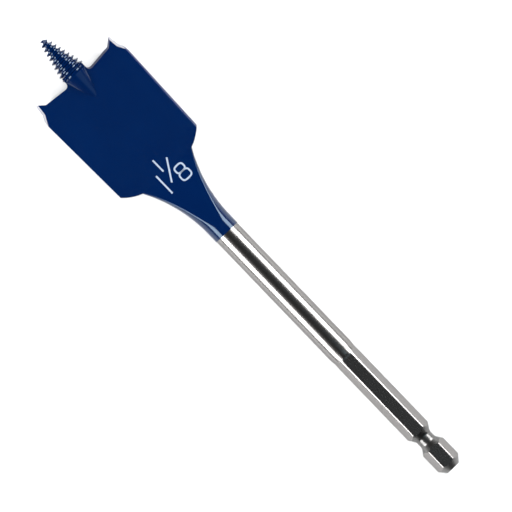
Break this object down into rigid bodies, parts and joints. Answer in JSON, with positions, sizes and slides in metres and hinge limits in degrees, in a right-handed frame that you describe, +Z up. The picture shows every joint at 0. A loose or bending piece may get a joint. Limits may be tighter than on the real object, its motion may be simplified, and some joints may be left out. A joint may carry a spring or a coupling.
{
  "type": "spade drill bit",
  "caption": "Spade drill bit for wood with a threaded screw point, a flat blade with two spurs, and a grooved hexagon shank.",
  "frame": {"origin": "under the middle of the bit's length, on the surface that it lies on", "axes": "+X along the bit's axis towards the shank, +Z up out of the blade's flat face"},
  "size_m": [0.1524, 0.0286, 0.0074],
  "materials": {
    "blade_coat": "glossy dark blue coat",
    "bare_steel": "bright turned and ground steel"
  },
  "bodies": {
    "root": {"spade_bit": "blade_coat"}
  },
  "joints": []
}
